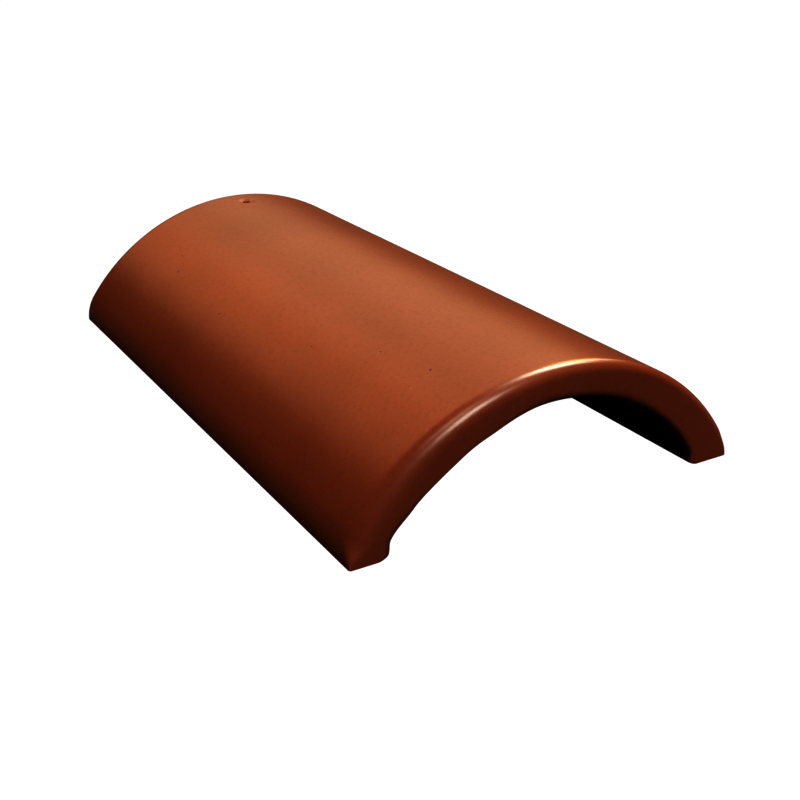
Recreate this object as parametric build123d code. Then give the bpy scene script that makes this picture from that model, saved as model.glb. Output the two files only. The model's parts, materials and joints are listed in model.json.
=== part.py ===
from build123d import *
import os

# Overall size of the tile, in mm
tile_length = 407.0        # front end to nailed end
tile_width = 250.0         # over the outsides of the two feet
tile_height = 81.0         # feet to the top of the crown

# Outer curve of the arch
foot_upright = 1.0         # straight outer side above each foot
shoulder_radius = 30.0     # curve from the upright side into the crown

# Wall of the arch
crown_thickness = 21.5     # at the top of the arch
foot_width = 27.0          # across each foot, with its rounded inner corner
inner_upright = 4.5        # inner side above each foot, up to the curve
inner_shoulder = 6.0       # curve from the inner side into the soffit

# Edges
front_rim_radius = 7.0     # rounded outer edge of the front end
front_inner_radius = 6.0   # rounded inner edge of the front end
back_edge_radius = 1.5     # outer and inner edges of the nailed end
foot_inner_radius = 1.5    # inner corner along each foot

# Nail hole
nail_hole_diameter = 6.0
nail_hole_from_back = 21.5 # nailed end to the middle of the hole
dish_diameter = 13.0       # shallow dish round the mouth of the hole
dish_depth = 1.6

edge_tolerance = 0.001     # how near an edge lies to the plane or curve that it belongs to

# The origin is on the floor under the middle of the tile, and the front end faces -Y
half_width = tile_width / 2
inner_half_width = half_width - foot_width
inner_height = tile_height - crown_thickness
front_end = -tile_length / 2
back_end = tile_length / 2
section_plane = Plane(origin=(0, front_end, 0), x_dir=(1, 0, 0), z_dir=(0, -1, 0))


def arch(half_span, upright, shoulder, height):
    # Three-centred arch: upright side, shoulder arc and crown arc, each tangent to the next
    reach = half_span - shoulder
    rise = height - upright
    crown = (reach ** 2 + rise ** 2 - shoulder ** 2) / (2 * (rise - shoulder))
    crown_centre = height - crown
    # The crown arc meets the shoulder arc on the line through their two centres
    share = crown / (crown - shoulder)
    meet = (reach * share, crown_centre + (upright - crown_centre) * share)
    with BuildLine() as outline:
        Line((half_span, 0), (half_span, upright))
        TangentArc((half_span, upright), meet, tangent=(0, 1))
        ThreePointArc(meet, (0, height), (-meet[0], meet[1]))
        TangentArc((-half_span, upright), (-meet[0], meet[1]), tangent=(0, 1))
        Line((-half_span, upright), (-half_span, 0))
        Line((-half_span, 0), (half_span, 0))
    return make_face(outline.line.edges())


def outer_section():
    return arch(half_width, foot_upright, shoulder_radius, tile_height)


def inner_section():
    return arch(inner_half_width, inner_upright, inner_shoulder, inner_height)


def end_edges(solid, section, end):
    # Edges of one end that follow a section's outline, without those of the base
    outline = Pos(0, end - front_end, 0) * (section_plane * section.face().outer_wire())
    chosen = []
    for edge in solid.edges():
        middle = edge @ 0.5
        start = edge @ 0
        on_end = abs(middle.Y - end) < edge_tolerance and abs(start.Y - end) < edge_tolerance
        if on_end and middle.Z > edge_tolerance and outline.distance_to(middle) < edge_tolerance:
            chosen.append(edge)
    return chosen


def foot_rounding(wall):
    # What the rounded inner corners take off the section, run along both feet
    corners = []
    for corner in wall.vertices():
        if abs(corner.Y) < edge_tolerance and abs(abs(corner.X) - inner_half_width) < edge_tolerance:
            corners.append(corner)
    waste = wall - fillet(corners, foot_inner_radius)
    return extrude(section_plane * waste, amount=-tile_length)


def nail_hole():
    # A round hole down through the crown, opening in a shallow dish
    centre_y = back_end - nail_hole_from_back
    dish_radius = dish_diameter / 2
    ball_radius = (dish_radius ** 2 + dish_depth ** 2) / (2 * dish_depth)
    ball_height = tile_height - dish_depth + ball_radius
    drill = Cylinder(nail_hole_diameter / 2, 2 * tile_height)
    ball = Sphere(ball_radius)
    return Pos(0, centre_y, tile_height) * drill + Pos(0, centre_y, ball_height) * ball


def ridge_tile():
    outside = outer_section()
    hollow = inner_section()
    wall = outside - hollow
    tile = extrude(section_plane * wall, amount=-tile_length)
    tile = fillet(end_edges(tile, outside, front_end), front_rim_radius)
    tile = fillet(end_edges(tile, outside, back_end), back_edge_radius)
    tile = fillet(end_edges(tile, hollow, front_end), front_inner_radius)
    tile = fillet(end_edges(tile, hollow, back_end), back_edge_radius)
    return tile - foot_rounding(wall) - nail_hole()


os.makedirs("parts", exist_ok=True)
export_step(ridge_tile(), "parts/ridge_tile.step")
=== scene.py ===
import bpy
import json
import math
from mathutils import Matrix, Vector, noise


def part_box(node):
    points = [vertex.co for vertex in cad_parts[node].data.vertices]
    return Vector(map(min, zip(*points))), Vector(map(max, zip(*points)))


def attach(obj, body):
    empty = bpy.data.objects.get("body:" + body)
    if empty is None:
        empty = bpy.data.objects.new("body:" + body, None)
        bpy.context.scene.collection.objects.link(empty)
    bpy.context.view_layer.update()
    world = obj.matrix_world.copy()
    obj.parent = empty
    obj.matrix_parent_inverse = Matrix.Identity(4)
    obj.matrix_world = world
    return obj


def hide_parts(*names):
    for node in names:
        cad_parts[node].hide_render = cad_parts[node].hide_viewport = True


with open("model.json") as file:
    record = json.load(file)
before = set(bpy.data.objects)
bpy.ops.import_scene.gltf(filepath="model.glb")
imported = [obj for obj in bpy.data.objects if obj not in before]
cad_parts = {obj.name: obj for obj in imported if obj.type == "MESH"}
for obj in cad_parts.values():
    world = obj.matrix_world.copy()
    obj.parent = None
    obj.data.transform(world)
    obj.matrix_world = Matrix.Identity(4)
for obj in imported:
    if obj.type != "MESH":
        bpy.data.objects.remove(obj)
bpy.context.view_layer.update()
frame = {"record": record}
print("frame loaded")

# Sizes that the solid already has come from the frame
nodeLow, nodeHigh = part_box("ridge_tile")
halfWidth = nodeHigh.x
height = nodeHigh.z
frontEnd = nodeLow.y
backEnd = nodeHigh.y
nailHole = next(m for m in frame["record"]["mounts"] if m["name"] == "nail_hole")
holeY = nailHole["pos_m"][1]
holeRadius = nailHole["dims"]["r_mm"] / 1000

# Shape of the tile, in metres
tileShape = {
    "outerUpright": 0.001,       # straight outer side above each foot
    "outerShoulder": 0.030,      # curve from there into the crown
    "crownThickness": 0.0215,
    "footWidth": 0.027,
    "innerUpright": 0.0045,
    "innerShoulder": 0.006,
    "footCorner": 0.0015,        # rounded inner corner of each foot
    "rimLeft": 0.0103,           # rounding of the front end low on the left side
    "rimRight": 0.005,           # the same on the right side
    "rimLeftX": -0.110,          # where the one and the other are reached, across the tile
    "rimRightX": 0.060,
    "toeRadius": 0.0015,         # rounding of the front end where a foot meets the floor
    "toeHeight": 0.014,          # how far up the foot that rounding grows to the full one
    # Rounding of the front end's inner edge: place across the tile and radius, from the left foot
    "innerRim": [(-0.098, 0.010), (-0.086, 0.006), (-0.070, 0.003), (-0.045, 0.003),
                 (-0.010, 0.0075), (0.030, 0.006), (0.098, 0.003)],
    "backEdgeRadius": 0.0015,
    "settleLength": 0.040,       # from the front end, where the rows have evened out
    "dishRadius": 0.0065,        # shallow dish round the mouth of the nail hole
    "dishDepth": 0.0016,
    "waveDepth": 0.00016,        # gentle unevenness of the coated face
    "waveLength": 0.055,
    "waveStretch": 0.6,          # below 1 the unevenness is drawn out along the tile
    "broadWave": 0.4,            # shares of the broad and of the fine unevenness
    "fineWave": 0.1,
    "fineWaveLength": 0.3,       # as a share of waveLength
    "waveHeights": (0.001, 0.012),   # above the floor, where it begins and where it is full
    "underDepth": 0.0003,        # the same for the underside
    "underLength": 0.022,
    "underStretch": 0.5,
    "underHeights": (0.004, 0.015),
    "raggedDepth": 0.0006,       # uneven inner edge of the front end
    "raggedLength": 0.014,
    "raggedWidth": 0.012,        # how far back from the front end it reaches
    "fineShift": (7, 3, 1),      # where the noises start, so that no two are alike
    "underShift": (3, 9, 2),
    "raggedShift": (5, 5, 5),
}

# How finely the tile is divided
tileGrid = {
    "columns": 160,              # from foot to foot, an even number
    "across": 6,                 # through the wall
    "rowLength": 0.0022,
    "frontRounding": 9,
    "backRounding": 3,
    "holeBlock": 8,              # rows and columns that give way to the rings of the nail hole
    "holeRow": 0.002,
    "denseSteps": 400,           # points on an arch before it is divided evenly
    "cornerSteps": 40,           # the same on the foot's rounded corner and on a straight side
    "sideSteps": 10,
    "sharpAngle": 40,            # degrees between two faces from which their edge stays sharp
}

# Rings of points round the nail hole, in metres
holeGrid = {
    "rimWidth": 0.0004,          # flat ring round the dish
    "dishRings": (0.006, 0.005, 0.0042, 0.0036),
    "mouthEdge": 0.0002,         # how the edge of the mouth is broken, outwards and down
    "mouthDrop": 0.0003,
    "outletEdge": 0.0007,        # the same on the underside, outwards and up
    "outletRise": 0.0005,
    "boreSteps": 4,
}


def ramp(value, low, high):
    # 0 up to the low limit and 1 from the high one
    return min(max((value - low) / (high - low), 0.0), 1.0)


def smooth(value, low, high):
    share = ramp(value, low, high)
    return share * share * (3 - 2 * share)


def crownRadius(halfSpan, upright, shoulder, top):
    reach = halfSpan - shoulder
    rise = top - upright
    return (reach ** 2 + rise ** 2 - shoulder ** 2) / (2 * (rise - shoulder))


def archHalf(halfSpan, upright, shoulder, top, outward):
    # Points and normals of the right half, from the straight side up to the crown
    crown = crownRadius(halfSpan, upright, shoulder, top)
    crownCentre = top - crown
    turn = math.atan2(upright - crownCentre, halfSpan - shoulder)
    steps = tileGrid["denseSteps"]
    points = []

    def add(centreX, centreZ, radius, angle):
        cosine, sine = math.cos(angle), math.sin(angle)
        spot = (centreX + radius * cosine, centreZ + radius * sine)
        points.append((*spot, cosine * outward, sine * outward))

    for i in range(steps + 1):
        add(halfSpan - shoulder, upright, shoulder, turn * i / steps)
    for i in range(1, steps + 1):
        add(0.0, crownCentre, crown, turn + (math.pi / 2 - turn) * i / steps)
    return points


def evenly(half, columns):
    # Both halves of a curve as evenly spaced points, from the left foot to the right foot
    left = [(-x, z, -nx, nz) for x, z, nx, nz in half]
    whole = left + half[-2::-1]
    along = [0.0]
    for a, b in zip(whole, whole[1:]):
        along.append(along[-1] + math.hypot(b[0] - a[0], b[1] - a[1]))
    points = []
    k = 0
    for i in range(columns + 1):
        wanted = along[-1] * i / columns
        while k < len(along) - 2 and along[k + 1] < wanted:
            k += 1
        share = (wanted - along[k]) / (along[k + 1] - along[k])
        a, b = whole[k], whole[k + 1]
        x, z, nx, nz = (p + (q - p) * share for p, q in zip(a, b))
        size = math.hypot(nx, nz)
        points.append((x, z, nx / size, nz / size))
    return points


def outerCurve():
    s = tileShape
    steps = tileGrid["sideSteps"]
    side = [(halfWidth, s["outerUpright"] * i / steps, 1.0, 0.0) for i in range(steps)]
    half = side + archHalf(halfWidth, s["outerUpright"], s["outerShoulder"], height, 1)
    return evenly(half, tileGrid["columns"])


def innerCurve():
    s = tileShape
    halfSpan = halfWidth - s["footWidth"]
    top = height - s["crownThickness"]
    corner = s["footCorner"]
    cornerSteps, sideSteps = tileGrid["cornerSteps"], tileGrid["sideSteps"]
    half = []
    for i in range(cornerSteps):
        # The normals stay level here, so that the end roundings leave the foot on the floor
        angle = -math.pi / 2 - math.pi / 2 * i / cornerSteps
        side = (math.cos(angle), math.sin(angle))
        half.append((halfSpan + corner + corner * side[0], corner + corner * side[1], -1.0, 0.0))
    for i in range(sideSteps):
        z = corner + (s["innerUpright"] - corner) * i / sideSteps
        half.append((halfSpan, z, -1.0, 0.0))
    half += archHalf(halfSpan, s["innerUpright"], s["innerShoulder"], top, -1)
    return evenly(half, tileGrid["columns"])


def straightRows():
    # Places along the tile between the two rounded ends, and the first row of the nail hole's block
    g = tileGrid
    start = frontEnd + tileShape["rimLeft"]
    blockStart = holeY - g["holeBlock"] / 2 * g["holeRow"]
    blockEnd = holeY + g["holeBlock"] / 2 * g["holeRow"]
    finish = backEnd - tileShape["backEdgeRadius"]
    count = round((blockStart - start) / g["rowLength"])
    rows = [start + (blockStart - start) * i / count for i in range(count)]
    rows += [blockStart + g["holeRow"] * i for i in range(g["holeBlock"])]
    last = round((finish - blockEnd) / g["rowLength"])
    rows += [blockEnd + (finish - blockEnd) * i / last for i in range(last + 1)]
    return rows, count


def rimAt(x, z):
    # Radius of the front end's outer rounding at one place on the arch
    s = tileShape
    share = ramp(x, s["rimLeftX"], s["rimRightX"])
    radius = s["rimLeft"] + (s["rimRight"] - s["rimLeft"]) * share
    return s["toeRadius"] + (radius - s["toeRadius"]) * smooth(z, 0.0, s["toeHeight"])


def innerRimAt(x):
    # Radius of the front end's inner rounding, evened out between the chosen places
    places = tileShape["innerRim"]
    for (start, radius), (finish, nextRadius) in zip(places, places[1:]):
        if x < finish:
            return radius + (nextRadius - radius) * smooth(x, start, finish)
    return places[-1][1]


def wave(x, y, z):
    # How far the coated face lies below its true curve
    s = tileShape
    broad = noise.noise(Vector((x, y * s["waveStretch"], z)) / s["waveLength"])
    fineLength = s["waveLength"] * s["fineWaveLength"]
    fine = noise.noise(Vector((x, y, z)) / fineLength + Vector(s["fineShift"]))
    depth = s["waveDepth"] * (0.5 + s["broadWave"] * broad + s["fineWave"] * fine)
    return depth * smooth(z, *s["waveHeights"])


def underWave(x, y, z):
    # The same for the underside, with the ragged inner edge of the front end
    s = tileShape
    place = Vector((x, y * s["underStretch"], z)) / s["underLength"]
    broad = noise.noise(place + Vector(s["underShift"]))
    edge = 1 - smooth(y, frontEnd, frontEnd + s["raggedWidth"])
    place = Vector((x, 0, z)) / s["raggedLength"]
    ragged = 0.5 + 0.5 * noise.noise(place + Vector(s["raggedShift"]))
    depth = s["underDepth"] * (0.5 + 0.5 * broad) + s["raggedDepth"] * ragged * edge
    return depth * smooth(z, *s["underHeights"])


def facePoint(spot, row, radius, depthAt):
    # One point of the outer or the inner face
    # row is ("front", 0 to 1), ("straight", y) or ("back", 0 to 1)
    x, z, nx, nz = spot
    kind, value = row
    inset = 0.0
    if kind == "front":
        angle = math.pi / 2 * value
        inset = radius * (1 - math.sin(angle))
        y = frontEnd + radius * (1 - math.cos(angle))
    elif kind == "back":
        back = tileShape["backEdgeRadius"]
        angle = math.pi / 2 * (1 - value)
        inset = back * (1 - math.sin(angle))
        y = backEnd - back * (1 - math.cos(angle))
    else:
        settled = frontEnd + tileShape["settleLength"]
        start = frontEnd + tileShape["rimLeft"]
        y = value
        if value < settled:
            length = settled - frontEnd - radius
            y = frontEnd + radius + length * (value - start) / (settled - start)
    inset += depthAt(x, y, z)
    return Vector((x - nx * inset, y, max(z - nz * inset, 0.0)))


def tileMesh():
    # The wall is a box of grid points, bent to the arch
    # u runs over the arch from foot to foot, v along the tile and w through the wall
    g = tileGrid
    outer = outerCurve()
    inner = innerCurve()
    places, blockRow = straightRows()
    rows = [("front", i / g["frontRounding"]) for i in range(g["frontRounding"])]
    rows += [("straight", y) for y in places]
    rows += [("back", (i + 1) / g["backRounding"]) for i in range(g["backRounding"])]
    us, vs, ws = g["columns"], len(rows) - 1, g["across"]
    points = []
    faces = []
    bare = []      # 0 where a point is coated, 1 where it isn't
    known = {}

    def vertex(u, v, w):
        key = (u, v, w)
        if key not in known:
            top = facePoint(outer[u], rows[v], rimAt(outer[u][0], outer[u][1]), wave)
            under = facePoint(inner[u], rows[v], innerRimAt(inner[u][0]), underWave)
            known[key] = len(points)
            points.append(top.lerp(under, w / ws))
            onFoot = u in (0, us) and w > 0
            bare.append(min(v / g["frontRounding"], 1.0) if w == ws else float(onFoot))
        return known[key]

    def face(*corners):
        faces.append(tuple(vertex(*corner) for corner in corners))

    half = g["holeBlock"] // 2
    uLow, uHigh = us // 2 - half, us // 2 + half
    vLow = g["frontRounding"] + blockRow
    vHigh = vLow + g["holeBlock"]
    for u in range(us):
        for v in range(vs):
            if uLow <= u < uHigh and vLow <= v < vHigh:
                continue
            face((u, v, 0), (u + 1, v, 0), (u + 1, v + 1, 0), (u, v + 1, 0))
            face((u, v + 1, ws), (u + 1, v + 1, ws), (u + 1, v, ws), (u, v, ws))
        for w in range(ws):
            face((u, 0, w + 1), (u + 1, 0, w + 1), (u + 1, 0, w), (u, 0, w))
            face((u, vs, w), (u + 1, vs, w), (u + 1, vs, w + 1), (u, vs, w + 1))
    for v in range(vs):
        for w in range(ws):
            face((0, v, w + 1), (0, v, w), (0, v + 1, w), (0, v + 1, w + 1))
            face((us, v, w), (us, v, w + 1), (us, v + 1, w + 1), (us, v + 1, w))

    # Edge of the open block, walked once round
    walk = [(u, vLow) for u in range(uLow, uHigh)]
    walk += [(uHigh, v) for v in range(vLow, vHigh)]
    walk += [(u, vHigh) for u in range(uHigh, uLow, -1)]
    walk += [(uLow, v) for v in range(vHigh, vLow, -1)]
    topEdge = [vertex(u, v, 0) for u, v in walk]
    underEdge = [vertex(u, v, ws) for u, v in walk]
    holeRings(points, faces, bare, topEdge, underEdge)
    return points, faces, bare


def holeRings(points, faces, bare, topEdge, underEdge):
    # The nail hole, from the coated face into the dish, down the bore and out on the underside
    s = tileShape
    outerCrown = crownRadius(halfWidth, s["outerUpright"], s["outerShoulder"], height)
    innerTop = height - s["crownThickness"]
    innerSpan = halfWidth - s["footWidth"]
    innerCrown = crownRadius(innerSpan, s["innerUpright"], s["innerShoulder"], innerTop)
    ball = (s["dishRadius"] ** 2 + s["dishDepth"] ** 2) / (2 * s["dishDepth"])

    def surface(x, y):
        z = height - outerCrown + math.sqrt(outerCrown ** 2 - x ** 2)
        return z - wave(x, y, z)

    def underside(x, y):
        z = innerTop - innerCrown + math.sqrt(innerCrown ** 2 - x ** 2)
        return z + underWave(x, y, z)

    def dish(radius, x, y):
        floor = height - s["dishDepth"] + ball - math.sqrt(ball ** 2 - radius ** 2)
        return min(surface(x, y), floor)

    def ring(radius, heightAt, before, bareness):
        made = []
        for corner in topEdge:
            spot = points[corner]
            angle = math.atan2(spot.y - holeY, spot.x)
            x, y = radius * math.cos(angle), holeY + radius * math.sin(angle)
            made.append(len(points))
            points.append(Vector((x, y, heightAt(radius, x, y))))
            bare.append(bareness)
        for i in range(len(made)):
            j = (i + 1) % len(made)
            faces.append((before[i], before[j], made[j], made[i]))
        return made

    g = holeGrid
    before = ring(s["dishRadius"] + g["rimWidth"], lambda r, x, y: surface(x, y), topEdge, 0.0)
    for radius in (s["dishRadius"], *g["dishRings"], holeRadius + g["mouthEdge"]):
        before = ring(radius, dish, before, 0.0)
    mouth = dish(holeRadius, holeRadius, holeY) - g["mouthDrop"]
    outlet = innerTop + g["outletRise"]
    for i in range(g["boreSteps"] + 1):
        share = i / g["boreSteps"]
        level = mouth + (outlet - mouth) * share
        before = ring(holeRadius, lambda r, x, y, level=level: level, before, share)
    before = ring(holeRadius + g["outletEdge"], lambda r, x, y: underside(x, y), before, 1.0)
    for i in range(len(before)):
        j = (i + 1) % len(before)
        faces.append((before[i], before[j], underEdge[j], underEdge[i]))


# Distance between two columns and two rows of nodes in the shader editor
nodeGrid = {"across": 200, "down": 180}


def inEditor(column, row):
    return (column * nodeGrid["across"], -row * nodeGrid["down"])


def addNode(tree, kind, place, **values):
    # A value is a setting of the node where it has one of that name, or else an input
    node = tree.nodes.new("ShaderNode" + kind)
    node.location = inEditor(*place)
    for name, value in values.items():
        if hasattr(node, name):
            setattr(node, name, value)
        else:
            node.inputs[name.replace("_", " ")].default_value = value
    return node


def newGroup(name, inputs, outputs):
    tree = bpy.data.node_groups.new(name, "ShaderNodeTree")
    newSocket = tree.interface.new_socket
    for label, kind, value in inputs:
        socket = newSocket(name=label, in_out="INPUT", socket_type="NodeSocket" + kind)
        if value is not None:
            socket.default_value = value
    for label, kind in outputs:
        newSocket(name=label, in_out="OUTPUT", socket_type="NodeSocket" + kind)
    entry = tree.nodes.new("NodeGroupInput")
    entry.location = inEditor(-2, 0)
    leave = tree.nodes.new("NodeGroupOutput")
    leave.location = inEditor(5, 0)
    return tree, entry, leave


def placeGroup(tree, group, place, **values):
    node = tree.nodes.new("ShaderNodeGroup")
    node.node_tree = group
    node.location = inEditor(*place)
    for name, value in values.items():
        node.inputs[name].default_value = value
    return node


def spotGroup():
    # A round mark at one place: 1 in its middle, 0 outside its radius
    inputs = [("Vector", "Vector", None), ("Centre", "Vector", None), ("Radius", "Float", 0.001)]
    tree, entry, leave = newGroup("spotMark", inputs, [("Mask", "Float")])
    distance = addNode(tree, "VectorMath", (0, 0), operation="DISTANCE")
    inner = addNode(tree, "Math", (0, 1), operation="MULTIPLY")
    inner.inputs[1].default_value = tileFinish["markCore"]
    fade = addNode(tree, "MapRange", (1, 0), interpolation_type="SMOOTHSTEP")
    fade.inputs["To Min"].default_value = 1.0
    fade.inputs["To Max"].default_value = 0.0
    tree.links.new(entry.outputs["Vector"], distance.inputs[0])
    tree.links.new(entry.outputs["Centre"], distance.inputs[1])
    tree.links.new(entry.outputs["Radius"], inner.inputs[0])
    tree.links.new(distance.outputs["Value"], fade.inputs["Value"])
    tree.links.new(inner.outputs[0], fade.inputs["From Min"])
    tree.links.new(entry.outputs["Radius"], fade.inputs["From Max"])
    tree.links.new(fade.outputs["Result"], leave.inputs["Mask"])
    return tree


def patchGroup():
    # Uneven patches between two limits of a noise
    inputs = [("Vector", "Vector", None), ("Scale", "Float", 30.0), ("Detail", "Float", 3.0)]
    inputs += [("Low", "Float", 0.4), ("High", "Float", 0.6)]
    tree, entry, leave = newGroup("unevenPatches", inputs, [("Mask", "Float")])
    cloud = addNode(tree, "TexNoise", (0, 0))
    limits = addNode(tree, "MapRange", (1, 0), interpolation_type="SMOOTHSTEP")
    tree.links.new(entry.outputs["Vector"], cloud.inputs["Vector"])
    tree.links.new(entry.outputs["Scale"], cloud.inputs["Scale"])
    tree.links.new(entry.outputs["Detail"], cloud.inputs["Detail"])
    tree.links.new(cloud.outputs["Fac"], limits.inputs["Value"])
    tree.links.new(entry.outputs["Low"], limits.inputs["From Min"])
    tree.links.new(entry.outputs["High"], limits.inputs["From Max"])
    tree.links.new(limits.outputs["Result"], leave.inputs["Mask"])
    return tree


def speckGroup():
    # Scattered small grains, each a soft dot
    inputs = [("Vector", "Vector", None), ("Scale", "Float", 300.0)]
    inputs += [("Size", "Float", 0.2), ("Share", "Float", 0.2)]
    tree, entry, leave = newGroup("scatteredSpecks", inputs, [("Mask", "Float")])
    cells = addNode(tree, "TexVoronoi", (0, 0))
    dot = addNode(tree, "MapRange", (1, 0), interpolation_type="SMOOTHSTEP")
    dot.inputs["From Min"].default_value = 0.0
    dot.inputs["To Min"].default_value = 1.0
    dot.inputs["To Max"].default_value = 0.0
    chosen = addNode(tree, "Math", (1, 1), operation="LESS_THAN")
    pick = addNode(tree, "SeparateColor", (0, 1))
    both = addNode(tree, "Math", (2, 0), operation="MULTIPLY")
    tree.links.new(entry.outputs["Vector"], cells.inputs["Vector"])
    tree.links.new(entry.outputs["Scale"], cells.inputs["Scale"])
    tree.links.new(cells.outputs["Distance"], dot.inputs["Value"])
    tree.links.new(entry.outputs["Size"], dot.inputs["From Max"])
    tree.links.new(cells.outputs["Color"], pick.inputs["Color"])
    tree.links.new(pick.outputs["Red"], chosen.inputs[0])
    tree.links.new(entry.outputs["Share"], chosen.inputs[1])
    tree.links.new(dot.outputs["Result"], both.inputs[0])
    tree.links.new(chosen.outputs[0], both.inputs[1])
    tree.links.new(both.outputs[0], leave.inputs["Mask"])
    return tree


# Finish of the tile, with depths in metres. A pattern is finer with a higher Scale. It is either a
# noise with its Detail, fading between Low and High, or grains with their Size and their Share
tileFinish = {
    "coatColour": (0.330, 0.067, 0.023, 1),
    "coatPatchColour": (0.290, 0.057, 0.018, 1),
    "coatPatches": {"Scale": 14.0, "Detail": 4.0, "Low": 0.35, "High": 0.7},
    "mottleColour": (0.215, 0.040, 0.013, 1),
    "mottle": {"Scale": 420.0, "Detail": 2.0, "Low": 0.45, "High": 0.75},
    "mottleWeight": 0.45,        # how much of its colour is laid over the coat
    "grainColour": (0.50, 0.15, 0.065, 1),
    "grains": {"Scale": 520.0, "Size": 0.22, "Share": 0.14},
    "grainWeight": 0.22,
    "coatRoughness": 0.32,
    "coatRoughnessPatches": 0.05,
    "glossWeight": 0.8,
    "glossRoughness": 0.24,
    "peelScale": 900.0,          # fine orange peel of the coat
    "peelStrength": 0.4,
    "peelDepth": 0.00012,
    "rippleScale": 75.0,         # soft ripples, drawn out along the tile
    "rippleStretch": 0.35,
    "rippleStrength": 0.35,
    "rippleDepth": 0.0006,
    # painted shade: a dark colour laid in the pits, standing in for the shade inside them
    "pitShadeColour": (0.10, 0.018, 0.008, 1),
    "pitStrength": 0.8,
    "pitDepth": 0.0006,
    "bareColour": (0.29, 0.085, 0.042, 1),
    "barePatchColour": (0.20, 0.055, 0.028, 1),
    "bareClouds": {"Scale": 38.0, "Detail": 6.0, "Low": 0.3, "High": 0.7},
    "bareRoughness": 0.82,
    "sand": {"Scale": 300.0, "Size": 0.3, "Share": 0.3},     # grains of the bare body
    "sandStrength": 0.7,
    "sandDepth": 0.0004,
    "coatEdge": {"Scale": 160.0, "Detail": 4.0, "Low": 0.3, "High": 0.7},
    "coatEdgeShift": 0.5,        # how far that pattern moves the line where the coat ends
    "coatEnd": (0.6, 0.9),       # where the coat begins to fade, and where it is gone
    "markCore": 0.4,             # share of a mark's radius that has its full colour
    # Marks of the coat: x and y on the tile and radius
    # the pits are sunk in the relief, and their dark colour is painted shade
    "pitsAndShade": [(-0.0885, 0.0330, 0.0011), (-0.0832, 0.1171, 0.0012), (-0.0737, 0.1326, 0.0009),
             (-0.0496, -0.1555, 0.0011), (-0.0746, -0.0688, 0.0008), (-0.0561, -0.1153, 0.0008)],
    "paleSpecks": [(-0.0756, -0.1936, 0.0006), (-0.0794, -0.1793, 0.0005),
                   (-0.0634, -0.1592, 0.0005), (-0.1056, -0.1975, 0.0007),
                   (-0.1113, -0.1957, 0.0007), (-0.1183, -0.1924, 0.0006)],
}


def onTile(x, y):
    # The point of the coated face above a place on the floor
    s = tileShape
    crown = crownRadius(halfWidth, s["outerUpright"], s["outerShoulder"], height)
    reach = halfWidth - s["outerShoulder"]
    share = crown / (crown - s["outerShoulder"])
    if abs(x) < reach * share:
        return (x, y, height - crown + math.sqrt(crown ** 2 - x ** 2))
    return (x, y, s["outerUpright"] + math.sqrt(s["outerShoulder"] ** 2 - (abs(x) - reach) ** 2))


def layColour(tree, place, below, above, mask):
    # One colour laid over another where the mask is 1
    node = addNode(tree, "Mix", place, data_type="RGBA")
    for socket, value in ((node.inputs[6], below), (node.inputs[7], above)):
        if isinstance(value, tuple):
            socket.default_value = value
        else:
            tree.links.new(value, socket)
    tree.links.new(mask, node.inputs[0])
    return node.outputs[2]


def scaled(tree, place, mask, factor):
    node = addNode(tree, "Math", place, operation="MULTIPLY")
    node.inputs[1].default_value = factor
    tree.links.new(mask, node.inputs[0])
    return node.outputs[0]


def strongest(tree, place, masks):
    # The largest of several masks, one Math node after another
    best = masks[0]
    for i, mask in enumerate(masks[1:]):
        node = addNode(tree, "Math", (place[0], place[1] + i), operation="MAXIMUM")
        tree.links.new(best, node.inputs[0])
        tree.links.new(mask, node.inputs[1])
        best = node.outputs[0]
    return best


def spots(tree, group, coords, marks, place):
    # One mask for several round marks of the coat
    masks = []
    for i, (x, y, radius) in enumerate(marks):
        node = placeGroup(tree, group, (place[0], place[1] + i), Centre=onTile(x, y), Radius=radius)
        tree.links.new(coords, node.inputs["Vector"])
        masks.append(node.outputs["Mask"])
    return strongest(tree, (place[0] + 1, place[1]), masks)


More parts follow.
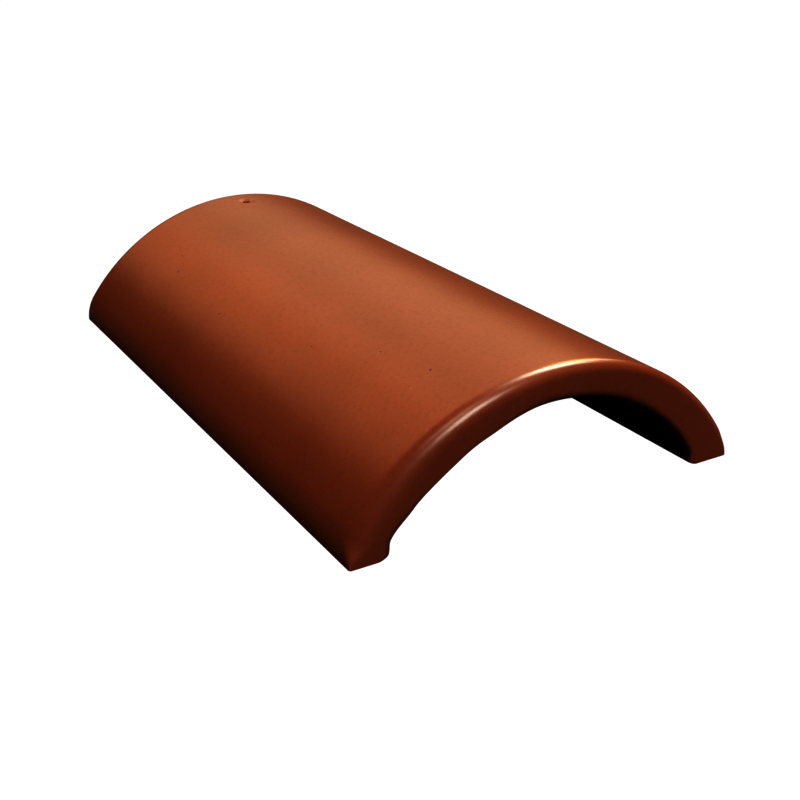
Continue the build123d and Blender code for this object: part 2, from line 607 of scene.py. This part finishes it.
def tileMaterial():
    f = tileFinish
    material = bpy.data.materials.new("coatedTile")
    material.use_nodes = True
    tree = material.node_tree
    shader = tree.nodes["Principled BSDF"]
    shader.location = inEditor(12, 0)
    tree.nodes["Material Output"].location = inEditor(14, 0)
    shader.inputs["Coat Weight"].default_value = f["glossWeight"]
    shader.inputs["Coat Roughness"].default_value = f["glossRoughness"]
    patchTree, speckTree, spotTree = patchGroup(), speckGroup(), spotGroup()
    coords = addNode(tree, "TexCoord", (-3, 0)).outputs["Object"]

    def pattern(group, place, name):
        node = placeGroup(tree, group, place, **f[name])
        tree.links.new(coords, node.inputs["Vector"])
        return node.outputs["Mask"]

    # Where the coat ends, on an uneven line
    bareness = addNode(tree, "Attribute", (-3, 2), attribute_name="bareness")
    edge = pattern(patchTree, (-1, 3), "coatEdge")
    edgeShift = addNode(tree, "Math", (0, 3), operation="MULTIPLY_ADD")
    edgeShift.inputs[1].default_value = f["coatEdgeShift"]
    tree.links.new(edge, edgeShift.inputs[0])
    tree.links.new(bareness.outputs["Fac"], edgeShift.inputs[2])
    coatEnd = addNode(tree, "MapRange", (1, 3), interpolation_type="SMOOTHSTEP")
    coatEnd.inputs["From Min"].default_value = f["coatEnd"][0]
    coatEnd.inputs["From Max"].default_value = f["coatEnd"][1]
    tree.links.new(edgeShift.outputs[0], coatEnd.inputs["Value"])
    bare = coatEnd.outputs["Result"]

    # Coated face: soft patches, mottle, fine grains and a few marks; the pits are sunk and darkened
    # with painted shade
    broad = pattern(patchTree, (-1, 0), "coatPatches")
    mottle = pattern(patchTree, (-1, 1), "mottle")
    grains = pattern(speckTree, (-1, 2), "grains")
    pitsAndShade = spots(tree, spotTree, coords, f["pitsAndShade"], (-1, 5))
    pale = spots(tree, spotTree, coords, f["paleSpecks"], (-1, 12))
    mottleMask = scaled(tree, (1, 1), mottle, f["mottleWeight"])
    grainMask = scaled(tree, (2, 1), grains, f["grainWeight"])
    coat = layColour(tree, (1, 0), f["coatColour"], f["coatPatchColour"], broad)
    coat = layColour(tree, (2, 0), coat, f["mottleColour"], mottleMask)
    coat = layColour(tree, (3, 0), coat, f["grainColour"], grainMask)
    # painted shade: the pits darkened where shade falls inside them
    coat = layColour(tree, (4, 0), coat, f["pitShadeColour"], pitsAndShade)
    coat = layColour(tree, (5, 0), coat, f["grainColour"], pale)

    # Bare underside: the plain body of the tile, with dark grains
    clouds = pattern(patchTree, (1, 5), "bareClouds")
    sand = pattern(speckTree, (1, 6), "sand")
    darker = strongest(tree, (2, 5), [clouds, sand])
    body = layColour(tree, (3, 5), f["bareColour"], f["barePatchColour"], darker)
    colour = layColour(tree, (6, 0), coat, body, bare)
    tree.links.new(colour, shader.inputs["Base Color"])

    # Roughness
    uneven = addNode(tree, "Math", (2, 2), operation="MULTIPLY_ADD")
    uneven.inputs[1].default_value = f["coatRoughnessPatches"]
    uneven.inputs[2].default_value = f["coatRoughness"]
    tree.links.new(mottle, uneven.inputs[0])
    rough = addNode(tree, "Mix", (4, 2))
    rough.inputs[3].default_value = f["bareRoughness"]
    tree.links.new(bare, rough.inputs[0])
    tree.links.new(uneven.outputs[0], rough.inputs[2])
    tree.links.new(rough.outputs[0], shader.inputs["Roughness"])

    gritty = addNode(tree, "Math", (7, 6), operation="MULTIPLY")
    tree.links.new(sand, gritty.inputs[0])
    tree.links.new(bare, gritty.inputs[1])
    tree.links.new(tileRelief(tree, coords, pitsAndShade, gritty.outputs[0]), shader.inputs["Normal"])
    return material


def tileRelief(tree, coords, pitsAndShade, sand):
    # Ripples along the crown, fine orange peel, the pits, and sand on the bare body
    f = tileFinish
    stretch = addNode(tree, "Mapping", (-1, 9))
    stretch.inputs["Scale"].default_value = (1.0, f["rippleStretch"], 1.0)
    tree.links.new(coords, stretch.inputs["Vector"])
    ripple = addNode(tree, "TexNoise", (0, 9), Scale=f["rippleScale"])
    tree.links.new(stretch.outputs["Vector"], ripple.inputs["Vector"])
    peel = addNode(tree, "TexNoise", (0, 8), Scale=f["peelScale"])
    tree.links.new(coords, peel.inputs["Vector"])
    steps = [(ripple.outputs["Fac"], f["rippleStrength"], f["rippleDepth"], False)]
    steps += [(peel.outputs["Fac"], f["peelStrength"], f["peelDepth"], False)]
    steps += [(pitsAndShade, f["pitStrength"], f["pitDepth"], True)]
    steps += [(sand, f["sandStrength"], f["sandDepth"], False)]
    normal = None
    for i, (heights, strength, depth, sunk) in enumerate(steps):
        node = addNode(tree, "Bump", (8 + i, 9 - i), invert=sunk, Strength=strength, Distance=depth)
        tree.links.new(heights, node.inputs["Height"])
        if normal:
            tree.links.new(normal, node.inputs["Normal"])
        normal = node.outputs["Normal"]
    return normal


def makeTile():
    points, faces, bare = tileMesh()
    mesh = bpy.data.meshes.new("ridgeTile")
    mesh.from_pydata(points, [], faces)
    mesh.validate()
    mesh.shade_smooth()
    mesh.set_sharp_from_angle(angle=math.radians(tileGrid["sharpAngle"]))
    mesh.attributes.new("bareness", "FLOAT", "POINT").data.foreach_set("value", bare)
    tile = bpy.data.objects.new("ridgeTile", mesh)
    bpy.context.collection.objects.link(tile)
    mesh.materials.append(tileMaterial())
    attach(tile, "root")
    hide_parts("ridge_tile")
    print("tile made:", len(points), "points,", len(faces), "faces")


# Studio. Each softbox is a round patch of light far away. Its values are where it stands, turned
# from +Y towards +X and up from the floor, its bright and its outer radius, these four in degrees,
# then its strength and its colour
studio = {
    "floorSize": 14.0,
    "floorColour": (1.0, 1.0, 1.0, 1),
    "floorStrength": 1.05,
    "floorShade": (0.02, 0.02, 0.02, 1),      # what the tile sees of the floor
    "roomShade": 0.003,                       # light that comes from everywhere
    "softboxes": {
        "key": (73, 55, 4, 17, 19.8, (1.0, 0.94, 0.70)),
        "right": (57, 33, 3, 12, 12.8, (1.0, 0.52, 0.18)),
        "front": (180, 50, 2, 14, 16.5, (1.0, 0.84, 0.68)),
        "over": (225, 74, 3, 13, 5.0, (1.0, 0.74, 0.54)),
        "behindRight": (30, 37, 8, 33, 1.0, (1.0, 0.73, 0.41)),
        "behind": (-11, 34, 5, 21, 1.7, (1.0, 0.41, 0.18)),
    },
    "gamma": 0.70,               # more contrast than the plain view
}


def softboxGroup():
    # 1 inside the bright radius, 0 outside the outer one. Both come as cosines
    inputs = [("Direction", "Vector", None), ("Middle", "Vector", None)]
    inputs += [("Bright", "Float", 0.9), ("Outer", "Float", 0.8)]
    tree, entry, leave = newGroup("softbox", inputs, [("Mask", "Float")])
    facing = addNode(tree, "VectorMath", (0, 0), operation="DOT_PRODUCT")
    fade = addNode(tree, "MapRange", (1, 0), interpolation_type="SMOOTHSTEP")
    tree.links.new(entry.outputs["Direction"], facing.inputs[0])
    tree.links.new(entry.outputs["Middle"], facing.inputs[1])
    tree.links.new(facing.outputs["Value"], fade.inputs["Value"])
    tree.links.new(entry.outputs["Outer"], fade.inputs["From Min"])
    tree.links.new(entry.outputs["Bright"], fade.inputs["From Max"])
    tree.links.new(fade.outputs["Result"], leave.inputs["Mask"])
    return tree


def pathSwitch(tree, seen, other):
    # What the camera sees directly, and what lights the tile
    path = addNode(tree, "LightPath", (-1, -2))
    mix = addNode(tree, "MixShader", (2, 0))
    tree.links.new(path.outputs["Is Camera Ray"], mix.inputs[0])
    tree.links.new(other.outputs[0], mix.inputs[1])
    tree.links.new(seen.outputs[0], mix.inputs[2])
    return mix


def makeStudio():
    half = studio["floorSize"] / 2
    mesh = bpy.data.meshes.new("floor")
    corners = [(-half, -half, 0), (half, -half, 0), (half, half, 0), (-half, half, 0)]
    mesh.from_pydata(corners, [], [(0, 1, 2, 3)])
    floor = bpy.data.objects.new("floor", mesh)
    bpy.context.collection.objects.link(floor)
    material = bpy.data.materials.new("paleFloor")
    material.use_nodes = True
    tree = material.node_tree
    colour, strength = studio["floorColour"], studio["floorStrength"]
    pale = addNode(tree, "Emission", (0, -1), Color=colour, Strength=strength)
    dull = addNode(tree, "BsdfDiffuse", (0, 2), Color=studio["floorShade"])
    switch = pathSwitch(tree, pale, dull)
    tree.links.new(switch.outputs[0], tree.nodes["Material Output"].inputs["Surface"])
    mesh.materials.append(material)
    makeRoom()
    bpy.context.scene.view_settings.view_transform = "Standard"
    bpy.context.scene.view_settings.gamma = studio["gamma"]
    print("studio made")


def makeRoom():
    # A pale backdrop for the camera, and the softboxes in a dark room for the tile
    world = bpy.data.worlds.new("studio")
    world.use_nodes = True
    room = world.node_tree
    direction = addNode(room, "TexCoord", (-6, 0)).outputs["Generated"]
    group = softboxGroup()
    total = None
    for i, softbox in enumerate(studio["softboxes"].values()):
        azimuth, elevation, bright, outer, strength, colour = softbox
        turn, tip = math.radians(azimuth), math.radians(elevation)
        middle = (math.sin(turn) * math.cos(tip), math.cos(turn) * math.cos(tip), math.sin(tip))
        limits = {"Bright": math.cos(math.radians(bright)), "Outer": math.cos(math.radians(outer))}
        box = placeGroup(room, group, (-5, i), Middle=middle, **limits)
        room.links.new(direction, box.inputs["Direction"])
        glow = addNode(room, "VectorMath", (-4, i), operation="SCALE")
        glow.inputs[0].default_value = [c * strength for c in colour]
        room.links.new(box.outputs["Mask"], glow.inputs["Scale"])
        if total is None:
            total = glow.outputs[0]
            continue
        both = addNode(room, "VectorMath", (-3, i), operation="ADD")
        room.links.new(total, both.inputs[0])
        room.links.new(glow.outputs[0], both.inputs[1])
        total = both.outputs[0]
    lit = addNode(room, "VectorMath", (-1, 1), operation="ADD")
    lit.inputs[1].default_value = [studio["roomShade"]] * 3
    room.links.new(total, lit.inputs[0])
    shade = room.nodes["Background"]
    room.links.new(lit.outputs[0], shade.inputs["Color"])
    colour, strength = studio["floorColour"], studio["floorStrength"]
    seen = addNode(room, "Background", (0, 1), Color=colour, Strength=strength)
    switch = pathSwitch(room, seen, shade)
    room.links.new(switch.outputs[0], room.nodes["World Output"].inputs["Surface"])
    bpy.context.scene.world = world


# Camera as in the photograph. The frame is square, and the axis is where the lens points in it
cameraView = {
    "azimuth": -29.88,
    "elevation": 21.06,
    "distance": 0.7771,          # from the point that it turns about
    "aimHeight": 0.030,
    "sensorWidth": 36,           # in mm
    "framePixels": 800,
    "focalPixels": 1174.3,
    "axisRight": -36.1,          # pixels from the middle of the frame
    "axisDown": -64.3,
}


def makeCamera():
    c = cameraView
    turn, tip = math.radians(c["azimuth"]), math.radians(c["elevation"])
    back = Vector((math.sin(turn) * math.cos(tip), -math.cos(turn) * math.cos(tip), math.sin(tip)))
    data = bpy.data.cameras.new("camera")
    data.sensor_width = c["sensorWidth"]
    data.lens = c["focalPixels"] / c["framePixels"] * data.sensor_width
    data.shift_x = -c["axisRight"] / c["framePixels"]
    data.shift_y = c["axisDown"] / c["framePixels"]
    camera = bpy.data.objects.new("camera", data)
    camera.location = Vector((0, 0, c["aimHeight"])) + back * c["distance"]
    camera.rotation_mode = "QUATERNION"
    camera.rotation_quaternion = (-back).to_track_quat("-Z", "Y")
    bpy.context.collection.objects.link(camera)
    bpy.context.scene.camera = camera
    print("camera made")


makeCamera()
makeTile()
makeStudio()
